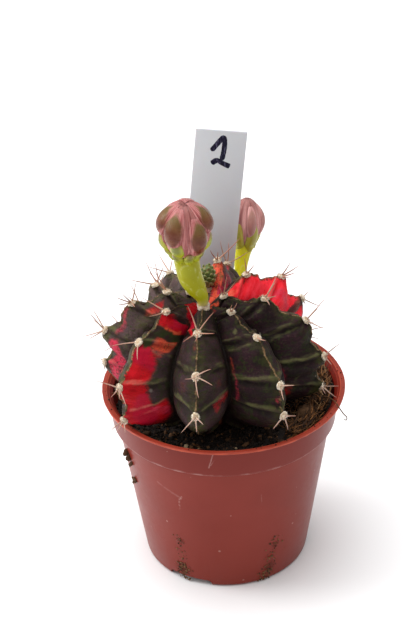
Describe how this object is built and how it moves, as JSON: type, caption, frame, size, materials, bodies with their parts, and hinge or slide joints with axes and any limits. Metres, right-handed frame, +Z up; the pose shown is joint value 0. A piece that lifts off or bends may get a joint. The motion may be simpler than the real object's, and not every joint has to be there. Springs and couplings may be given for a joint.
{
  "type": "potted moon cactus",
  "caption": "Ribbed red and green cactus with spines and two flower buds, in a small round nursery pot with soil and a stick label.",
  "frame": {"origin": "centre of the pot's underside, on the surface that the pot stands on", "axes": "+Z up along the pot's axis; the plant's front, with the larger bud, faces -Y; +X to the right seen from there"},
  "size_m": [0.0695, 0.0737, 0.1136],
  "materials": {
    "pot_plastic": "satin terracotta-coloured plastic",
    "peat_soil": "dark moist peat with bark crumbs",
    "cactus_skin": "dark green and purple-brown skin with red patches",
    "bud_green": "smooth yellow-green",
    "bud_pink": "smooth pink and olive-brown",
    "young_bud_green": "scaly green",
    "label_plastic": "matt white plastic"
  },
  "bodies": {
    "root": {"pot": "pot_plastic", "soil": "peat_soil", "cactus_body": "cactus_skin", "flower_bud_front_tube": "bud_green", "flower_bud_front_tepals": "bud_pink", "flower_bud_back_tube": "bud_green", "flower_bud_back_tepals": "bud_pink", "young_bud": "young_bud_green", "plant_label": "label_plastic"}
  },
  "joints": []
}
